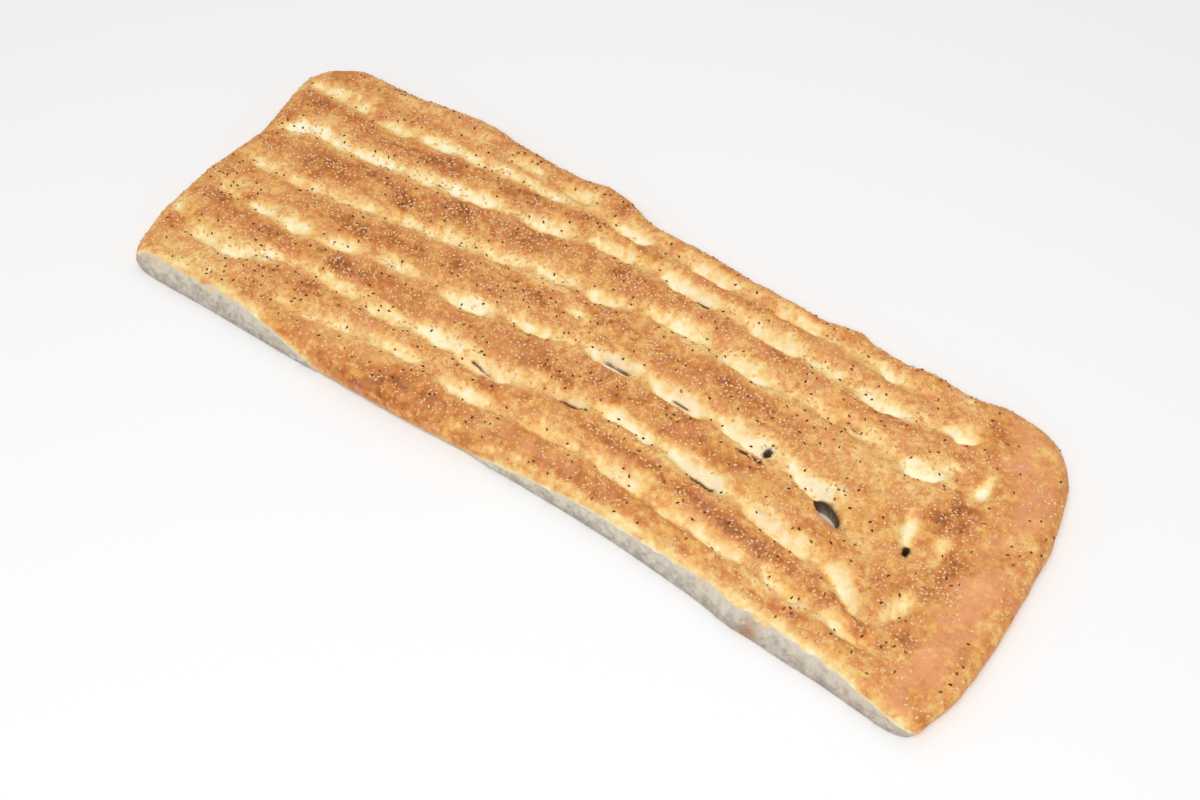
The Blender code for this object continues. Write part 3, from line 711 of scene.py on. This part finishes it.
def inOpenings(x, y):
    # share of painted shade in and around each opening
    share, margin = np.zeros(len(x)), browning["openingMargin"]
    for openX, openY, halfLength, halfWidth, depth, turn in openings["places"]:
        along, across = awayFromBar(x, y, (openX, openY), 0, math.radians(turn))
        away = np.hypot(along / (halfLength + margin), across / (halfWidth + margin))
        share = np.maximum(share, rise(*browning["openingFade"], away))
    return share


def markSurface(piece):
    # masks that the crust's material reads
    coords, normals = coordsOf(piece), normalsOf(piece)
    x, y, z = coords.T
    distance, outward = nearestOnOutline(coords[:, :2])
    torn, lean, lip = tornShare(x, outward)
    crest = fall((distance - lean) / browning["crestReach"]) * rise(lip - 3, lip, z)
    crest *= np.minimum(torn * 1.4, 1)
    masks = {
        # browning, with painted light in the presses and painted shade low on the near edge
        "bake": (browning["ridge"] + patchSum(x, y, browning["patches"])
                 - browning["channel"] * inChannels(x, y) - browning["press"] * paleOfPresses(x, y)
                 - browning["crest"] * crest),
        "rosy": np.clip(patchSum(x, y, browning["rosy"]), 0, 1),
        "torn": wallShare(coords, normals),
        "lip": np.clip((z - 2) / (lip - 2), 0, 1),     # height on the torn side
        "scorch": np.clip(patchSum(x, y, browning["scorchedAndShaded"]), 0, 1),
        # painted shade along the slits
        "slit": inSlits(x, y) * (normals[:, 2] > 0),
        # painted shade in the openings
        "opening": inOpenings(x, y),
        "foot": rise(9, 2, z),
    }
    for name, values in masks.items():
        layer = piece.data.attributes.new(name, "FLOAT", "POINT")
        layer.data.foreach_set("value", values.astype(np.float32))
    under = piece.data.attributes.new("under", "FLOAT", "FACE")
    under.data.foreach_set("value", [float(not face.use_smooth) for face in piece.data.polygons])


# Materials
class Wire:
    # a socket that can be written in sums
    def __init__(self, paint, socket):
        self.paint = paint
        self.socket = socket

    def __add__(self, other):
        return self.paint.sum("ADD", self, other)

    def __radd__(self, other):
        return self.paint.sum("ADD", other, self)

    def __sub__(self, other):
        return self.paint.sum("SUBTRACT", self, other)

    def __rsub__(self, other):
        return self.paint.sum("SUBTRACT", other, self)

    def __mul__(self, other):
        return self.paint.sum("MULTIPLY", self, other)

    def __rmul__(self, other):
        return self.paint.sum("MULTIPLY", other, self)


def tint(red, green, blue):
    # a colour as a screen shows it, 0 to 255, made linear
    def linear(part):
        part /= 255
        return part / 12.92 if part <= 0.04045 else ((part + 0.055) / 1.055) ** 2.4
    return (linear(red), linear(green), linear(blue), 1)


class Paint:
    # one material and its nodes
    def __init__(self, name, specular):
        self.material = bpy.data.materials.new(name)
        self.material.use_nodes = True
        self.tree = self.material.node_tree
        self.shader = self.tree.nodes["Principled BSDF"]
        self.shader.inputs["Specular IOR Level"].default_value = specular
        self.place = self.node("ShaderNodeTexCoord", {}, {}, "Object")

    def node(self, kind, settings, sockets, out=0):
        made = self.tree.nodes.new(kind)
        for name, value in settings.items():
            if name == "stops":
                ramp = made.color_ramp.elements
                while len(ramp) < len(value):
                    ramp.new(0.5)
                for element, (position, colour) in zip(ramp, value):
                    element.position = position
                    element.color = colour
            else:
                setattr(made, name, value)
        for name, value in sockets.items():
            self.feed(made.inputs[name], value)
        return Wire(self, made.outputs[out])

    def feed(self, socket, value):
        if isinstance(value, Wire):
            self.tree.links.new(value.socket, socket)
        else:
            socket.default_value = value

    def sum(self, operation, first, second):
        return self.node("ShaderNodeMath", {"operation": operation}, {0: first, 1: second})

    def mask(self, name):
        return self.node("ShaderNodeAttribute", {"attribute_name": name}, {}, "Fac")

    def mottle(self, size, detail=3, roughness=0.55):
        # noise from -0.5 to 0.5 with grains of that many mm
        found = self.node("ShaderNodeTexNoise", {}, {"Vector": self.place, "Scale": 1 / (size * mm),
                                                     "Detail": detail, "Roughness": roughness}, "Fac")
        return found - 0.5

    def step(self, value, low, high):
        return self.node("ShaderNodeMapRange", {"interpolation_type": "SMOOTHSTEP"},
                         {"Value": value, "From Min": low, "From Max": high, "To Min": 0, "To Max": 1})

    def mix(self, share, first, second):
        return self.node("ShaderNodeMix", {"data_type": "RGBA"}, {0: share, 6: first, 7: second}, 2)

    def ramp(self, value, stops):
        return self.node("ShaderNodeValToRGB", {"stops": stops}, {"Fac": value}, "Color")

    def bump(self, height, distance, strength):
        return self.node("ShaderNodeBump", {}, {"Height": height, "Distance": distance * mm,
                                                "Strength": strength}, "Normal")

    def wear(self, name, value):
        self.feed(self.shader.inputs[name], value)


# From pale dough to dark brown, and what varies it
crustRamp = ((0, (254, 245, 210)), (0.14, (252, 231, 174)), (0.29, (248, 211, 138)),
             (0.43, (240, 187, 109)), (0.57, (226, 156, 82)), (0.72, (204, 125, 56)),
             (0.86, (176, 98, 38)), (1, (134, 72, 28)))
crustColours = {
    "pink": (234, 152, 104),
    "golden": (242, 188, 100),
    "rosy": (240, 164, 118),
    "speck": (248, 206, 154),
    "fleck": (164, 96, 46),
    "flour": (218, 208, 190),
    "crumb": (178, 168, 156),
    # painted shade towards the foot of the torn side
    "shade": (146, 132, 120),
    # brown of the torn side's stains, also painted as shade round the slits
    "scorch": (176, 126, 92),
    # painted shade in the slits' folds
    "slit": (74, 42, 20),
    # painted shade on the walls and rims of the openings
    "openingWallShade": (84, 56, 36),
    "foot": (214, 176, 130),
    "underPale": (232, 212, 176),
    "underBrown": (190, 140, 88),
}


def crustMaterial():
    paint = Paint("bakedCrust", 0.35)
    colours = {name: tint(*colour) for name, colour in crustColours.items()}
    bake, rosy, torn = paint.mask("bake"), paint.mask("rosy"), paint.mask("torn")
    broad, middling, fine = paint.mottle(34), paint.mottle(9), paint.mottle(4.2, 1)
    grain = paint.mottle(1.3, 3, 0.65)
    blush, hue = paint.mottle(14, 2, 0.6), paint.mottle(17, 3, 0.6)
    level = bake - torn * 0.5 + broad * 0.5 + middling * 0.78 + fine * 0.4 + grain * 0.2
    crust = paint.ramp(level, [(at, tint(*colour)) for at, colour in crustRamp])
    baked = paint.step(level, 0.3, 0.5) * (1 - torn)
    crust = paint.mix(paint.step(hue, 0.02, 0.22) * baked * 0.45, crust, colours["pink"])
    golden = paint.step(hue, -0.02, -0.22) * baked * (1 - rosy) * 0.55
    crust = paint.mix(golden, crust, colours["golden"])
    rosyShare = paint.step(rosy + blush * 2.6 + middling * 2.2 + fine * 0.8, 0.1, 1.4) * baked
    crust = paint.mix(rosyShare * 0.72, crust, colours["rosy"])
    plain = (1 - rosy * 0.6) * baked
    specks = paint.step(paint.mottle(3.1, 1), 0.1, 0.2) * plain * 0.5
    crust = paint.mix(specks, crust, colours["speck"])
    flecks = paint.step(paint.mottle(3.9, 1), 0.13, 0.2) * plain * 0.45
    crust = paint.mix(flecks, crust, colours["fleck"])
    foot = paint.step(paint.mask("foot") + middling * 0.5, 0.35, 0.9)
    crust = paint.mix(foot * 0.7, crust, colours["foot"])

    # the torn side: crumb and flour tones, mottled, paler up towards the lip, with painted shade darkening
    # it towards its foot
    heightAndMottle = paint.mask("lip") * 0.7 + middling * 1.9 + fine
    wall = paint.mix(paint.step(heightAndMottle, -0.1, 0.75), colours["crumb"], colours["flour"])
    wall = paint.mix(paint.step(heightAndMottle, 0.15, -0.4) * 0.4, wall, colours["shade"])
    # brown stains, with painted shade along the right end's wall
    wall = paint.mix(paint.mask("scorch") * 0.7, wall, colours["scorch"])
    tornOpen = paint.step(torn + middling * 0.9 + fine * 0.3, 0.1, 0.75)
    colour = paint.mix(tornOpen, crust, wall)

    # painted shade darkening the openings' walls and rims
    colour = paint.mix(paint.mask("opening") * 0.9, colour, colours["openingWallShade"])
    # painted shade along the slits: a brown halo in the stain colour, then a dark line in the fold
    slit = paint.mask("slit") + grain * 0.5
    colour = paint.mix(paint.step(slit, 0.1, 0.5) * 0.4, colour, colours["scorch"])
    colour = paint.mix(paint.step(slit, 0.35, 0.65) * 0.92, colour, colours["slit"])
    browned = paint.step(broad + middling * 0.7, -0.12, 0.3)
    under = paint.mix(browned, colours["underPale"], colours["underBrown"])
    colour = paint.mix(paint.mask("under"), colour, under)
    paint.wear("Base Color", colour)
    paint.wear("Roughness", 0.52 + tornOpen * 0.36 + fine * 0.2)

    crumb = paint.node("ShaderNodeTexVoronoi", {"feature": "SMOOTH_F1"},
                       {"Vector": paint.place, "Scale": 1 / (2.6 * mm), "Smoothness": 0.6}, "Distance")
    height = fine * 0.5 + grain * 0.35 + (crumb - 0.5) * tornOpen * 1.3
    paint.wear("Normal", paint.bump(height, 0.7, 0.75))
    return paint.material


def seedMaterial(kind):
    paint = Paint(kind["material"], 0.25)
    speck = paint.mottle(0.8, 2)
    toasted = paint.step(paint.mask("tone") + speck * 0.35, 0, 1)
    paint.wear("Base Color", paint.mix(toasted, tint(*kind["pale"]), tint(*kind["toasted"])))
    paint.wear("Roughness", 0.6 + speck * 0.2)
    paint.wear("Normal", paint.bump(speck, 0.12, 0.5))
    return paint.material


# Seeds. Their chance to fall on a place is even, plus waves of (strength, size, seed), plus drifts of
# (x, y, half length, half width, amount), and it is less on rosy crust and in pale presses
sesame = {
    "name": "sesameSeeds",
    "slot": "sesame_seed",
    "material": "sesameSeed",
    "pale": (245, 207, 152),
    "toasted": (222, 160, 100),
    "size": (1.75, 1.12, 0.65),     # half sizes
    "tries": 26000,
    "apart": 2.2,
    "tilt": 0.2,
    "draw": 7,
    "even": 0.5,
    "waves": ((0.9, 26, 3), (0.5, 9, 8)),
    "drifts": (
        (-300, 20, 60, 45, 0.35), (-180, -10, 90, 40, 0.35), (-60, 0, 70, 40, 0.5),
        (-150, 60, 80, 30, 0.25), (-100, -110, 80, 20, 0.2), (-250, -90, 60, 25, 0.25),
        (318, 10, 14, 30, 0.4), (315, -60, 16, 40, 0.3), (130, 22, 60, 14, 0.2), (-20, 62, 60, 12, 0.25),
        (120, 68, 60, 8, 0.2),
    ),
    "lessOnRosy": 0.6,
    "lessInPress": 0.95,
    "pressShare": 1.45,    # how soon a press is too pale for them
}
nigella = {
    "name": "nigellaSeeds",
    "slot": "nigella_seed",
    "material": "nigellaSeed",
    "pale": (70, 46, 28),
    "toasted": (140, 90, 50),
    "size": (1.5, 0.95, 0.85),
    "tries": 2600,
    "apart": 3.2,
    "tilt": 0.3,
    "draw": 19,
    "even": 0.3,
    "waves": ((0.5, 30, 21),),
    "drifts": (
        (-170, -80, 90, 20, 0.35), (158, 72, 14, 10, 0.7), (225, 90, 18, 8, 0.7), (205, 45, 14, 6, 0.7),
        (300, -105, 24, 10, 0.8), (355, 70, 10, 20, 0.3), (332, -75, 14, 10, 0.5), (-240, -95, 40, 10, 0.4),
        (-60, 10, 30, 12, 0.5), (95, 42, 30, 6, 0.4), (-324, 93, 7, 4, 1.4), (-290, 93, 9, 3, 3),
        (-289, -47, 3, 4, 1.5), (-254, -45, 3, 4, 1.5), (-240, 50, 8, 4, 0.8), (-305, 47, 5, 5, 0.9),
        (-318, -93, 5, 4, 1), (-265, -90, 8, 4, 0.8), (-330, -42, 5, 4, 0.8), (-205, 45, 14, 5, 0.4),
        (202, 46, 12, 3, 1), (40, 80, 22, 4, 0.8), (-150, -142, 8, 3, 1.2), (290, -100, 10, 8, 0.5),
    ),
    "lessOnRosy": 0.3,
    "lessInPress": 0.6,
    "pressShare": 1,
}
strewing = {
    "point": (0.2, 0.72, 0.8),    # where a seed starts to narrow, and to what width and thickness
    "sizes": (0.86, 1.14),
    "sunk": 0.4,          # share of a seed's thickness in the crust
    "paler": 0.8,         # in a pale press
    "offWall": 5,         # from the top of the torn side
    "lowest": 6,
    "steepest": 0.35,     # least upward part of the crust's normal
    "above": 60,          # where seeds fall from
}


def seedPattern(kind):
    # a sphere with one end drawn out to a point
    bpy.ops.object.select_all(action="DESELECT")
    bpy.ops.mesh.primitive_ico_sphere_add(subdivisions=1, radius=1, rotation=(0, math.pi / 2, 0))
    pattern = bpy.context.object
    bpy.ops.object.transform_apply(rotation=True)
    shape = startEdit(pattern, "VERT")
    start, width, thickness = strewing["point"]
    for vert in shape.verts:
        vert.select = vert.co.x > start
    shape.select_flush_mode()
    bmesh.update_edit_mesh(pattern.data)
    bpy.ops.transform.resize(value=(1, width, thickness), center_override=(start, 0, 0))
    bpy.ops.mesh.select_all(action="SELECT")
    bpy.ops.transform.resize(value=kind["size"], center_override=(0, 0, 0))
    bpy.ops.object.mode_set(mode="OBJECT")
    return pattern


def surfaceOf(piece):
    polygons = [tuple(face.vertices) for face in piece.data.polygons]
    return BVHTree.FromPolygons([vert.co / mm for vert in piece.data.vertices], polygons)


def chanceOf(kind, x, y):
    chance = (kind["even"] + waves(x, y, kind["waves"]) + patchSum(x, y, kind["drifts"])
              - kind["lessOnRosy"] * patchSum(x, y, browning["rosy"]))
    inPress = np.minimum(kind["pressShare"] * paleOfPresses(x, y), 1)
    return chance * (1 - kind["lessInPress"] * inPress)


def strewSeeds(kind, surface):
    # seeded draws over the loaf, kept where the chance allows and no seed lies too near
    draw = np.random.default_rng(kind["draw"])
    tries, apart = kind["tries"], kind["apart"]
    x = draw.uniform(-bread["halfLength"], bread["halfLength"], tries)
    y = draw.uniform(-bread["halfWidth"], bread["halfWidth"], tries)
    turn, tilt = draw.uniform(0, math.tau, tries), draw.normal(0, kind["tilt"], tries)
    grow, tone = draw.uniform(*strewing["sizes"], (tries, 3)), draw.random(tries)
    tone *= 1 - strewing["paler"] * paleOfPresses(x, y)
    distance, outward = nearestOnOutline(np.column_stack([x, y]))
    torn, lean, _ = tornShare(x, outward)
    onCrust = (torn < 0.2) | (distance > lean + strewing["offWall"])
    lucky = (draw.random(tries) < chanceOf(kind, x, y)) & onCrust
    lift = kind["size"][2] * (1 - 2 * strewing["sunk"])
    taken, places = {}, []
    for i in np.flatnonzero(lucky):
        here = (x[i], y[i])
        cell = (round(x[i] / apart), round(y[i] / apart))
        around = [taken.get((cell[0] + right, cell[1] + up)) for right in (-1, 0, 1) for up in (-1, 0, 1)]
        if any(other and math.dist(other, here) < apart for other in around):
            continue
        hit, normal, _, _ = surface.ray_cast(Vector((*here, strewing["above"])), Vector((0, 0, -1)))
        if hit is None or hit.z < strewing["lowest"] or normal.z < strewing["steepest"]:
            continue
        taken[cell] = here
        upright = normal.to_track_quat("Z", "Y").to_matrix().to_4x4()
        places.append((Matrix.Translation(hit + normal * lift) @ upright @ Matrix.Rotation(turn[i], 4, "Z")
                       @ Matrix.Rotation(tilt[i], 4, "X") @ Matrix.Diagonal((*grow[i], 1)), tone[i]))
    return places


def joinedCopies(kind, pattern, places):
    # one mesh of all the copies, each with its own tone
    corners = np.array([(*vert.co, 1) for vert in pattern.data.vertices])
    faces = [tuple(face.vertices) for face in pattern.data.polygons]
    moved = np.concatenate([(corners @ np.array(place).T)[:, :3] for place, _ in places])
    allFaces = [tuple(index + copy * len(corners) for index in face)
                for copy in range(len(places)) for face in faces]
    data = bpy.data.meshes.new(kind["name"])
    data.from_pydata((moved * mm).tolist(), [], allFaces)
    tones = data.attributes.new("tone", "FLOAT", "POINT")
    values = np.repeat([tone for _, tone in places], len(corners))
    tones.data.foreach_set("value", values.astype(np.float32))
    data.shade_smooth()
    piece = bpy.data.objects.new(kind["name"], data)
    bpy.context.scene.collection.objects.link(piece)
    bpy.data.objects.remove(pattern, do_unlink=True)
    return piece


def centre(piece):
    # from the measuring plan to the frame, whose origin is the middle of the outline
    middle = (loop.min(axis=0) + loop.max(axis=0)) / 2
    onlySelect(piece)
    bpy.ops.transform.translate(value=(-middle[0] * mm, -middle[1] * mm, 0))
    bpy.ops.object.transform_apply(location=True)


def finishPiece(piece, material):
    piece.data.materials.clear()
    piece.data.materials.append(material)
    centre(piece)
    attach(piece, "root")


# Floor, light and camera
studio = {
    "floorSize": 6,
    "floorDrop": 0.0004,
    "floorColour": (252, 252, 252),
    "sky": 0.48,
    "aim": (0.03145, -0.03266, 0),
    "distance": 1.12677,
    "elevation": 55,
    "azimuth": 33.61,
    "roll": 1.5,
    "lens": 43.5,
    # lights: (azimuth, elevation, distance, size, watts)
    "lights": ((25, 62, 2.6, 1.6, 37), (200, 55, 3, 2.2, 9)),
}


def fromMiddle(azimuth, elevation, distance):
    azimuth, elevation = math.radians(azimuth), math.radians(elevation)
    return Vector((math.cos(elevation) * math.sin(azimuth), -math.cos(elevation) * math.cos(azimuth),
                   math.sin(elevation))) * distance


def setStage():
    bpy.ops.object.select_all(action="DESELECT")
    bpy.ops.mesh.primitive_plane_add(size=studio["floorSize"], location=(0, 0, -studio["floorDrop"]))
    floor = bpy.context.object
    floor.name = "floor"
    paint = Paint("paleFloor", 0.2)
    paint.wear("Base Color", tint(*studio["floorColour"]))
    paint.wear("Roughness", 0.7)
    floor.data.materials.append(paint.material)

    world = bpy.data.worlds.new("softStudio")
    world.use_nodes = True
    world.node_tree.nodes["Background"].inputs["Color"].default_value = (1, 1, 1, 1)
    world.node_tree.nodes["Background"].inputs["Strength"].default_value = studio["sky"]
    bpy.context.scene.world = world
    for azimuth, elevation, distance, size, watts in studio["lights"]:
        place = fromMiddle(azimuth, elevation, distance)
        turn = place.to_track_quat("Z", "Y").to_euler()
        bpy.ops.object.light_add(type="AREA", location=place, rotation=turn)
        bpy.context.object.data.size = size
        bpy.context.object.data.energy = watts

    aim = Vector(studio["aim"])
    place = aim + fromMiddle(studio["azimuth"], studio["elevation"], studio["distance"])
    turn = (aim - place).to_track_quat("-Z", "Y").to_matrix()
    turn = turn @ Matrix.Rotation(math.radians(studio["roll"]), 3, "Z")
    bpy.ops.object.camera_add(location=place, rotation=turn.to_euler())
    camera = bpy.context.object
    camera.data.lens = studio["lens"]
    camera.data.clip_start = 0.01
    bpy.context.scene.camera = camera
    bpy.context.scene.view_settings.view_transform = "Standard"


loaf = modelLoaf()
markSurface(loaf)
surface = surfaceOf(loaf)
finishPiece(loaf, crustMaterial())
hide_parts(loafNode)
print("loaf done:", len(loaf.data.polygons), "faces")

for kind in (sesame, nigella):
    places = strewSeeds(kind, surface)
    seeds = joinedCopies(kind, seedPattern(kind), places)
    finishPiece(seeds, seedMaterial(kind))
    print(kind["name"], "strewn:", len(places))

setStage()
print("stage set")
